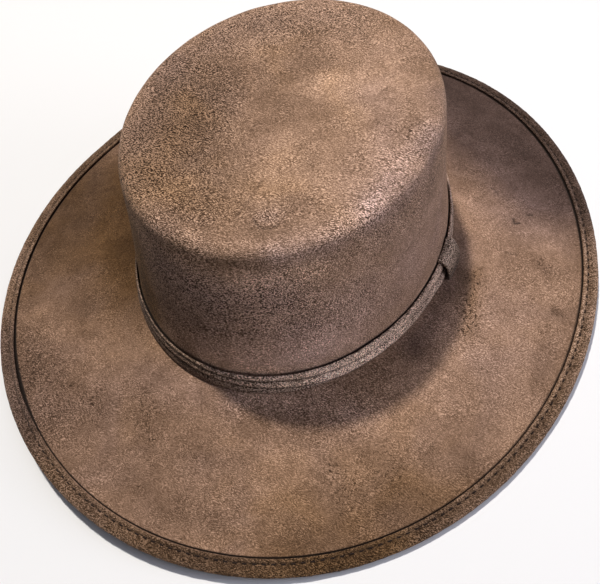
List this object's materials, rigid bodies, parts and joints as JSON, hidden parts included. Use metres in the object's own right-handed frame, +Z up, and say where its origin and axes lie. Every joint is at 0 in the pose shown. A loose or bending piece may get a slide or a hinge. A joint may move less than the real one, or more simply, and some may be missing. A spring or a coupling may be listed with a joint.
{
  "type": "suede hat",
  "caption": "Wide-brimmed suede hat with a flat-topped tapered crown, a pleated band with a keeper and a stitched binding round the brim's edge; hollow to take a head.",
  "frame": {"origin": "on the table that the hat rests on, below the middle of the brim", "axes": "+Z up through the crown, -Y towards the front of the hat, +X towards the wearer's left, where the band is joined"},
  "size_m": [0.3374, 0.3744, 0.1083],
  "materials": {
    "suede": "soft napped suede, mid brown with warm tan worn patches",
    "trim_suede": "the same suede, a little darker, with a coarser nap"
  },
  "bodies": {
    "root": {"crown": "suede", "brim": "suede", "brim_binding": "trim_suede", "hat_band": "trim_suede", "band_keeper": "trim_suede"}
  },
  "joints": []
}
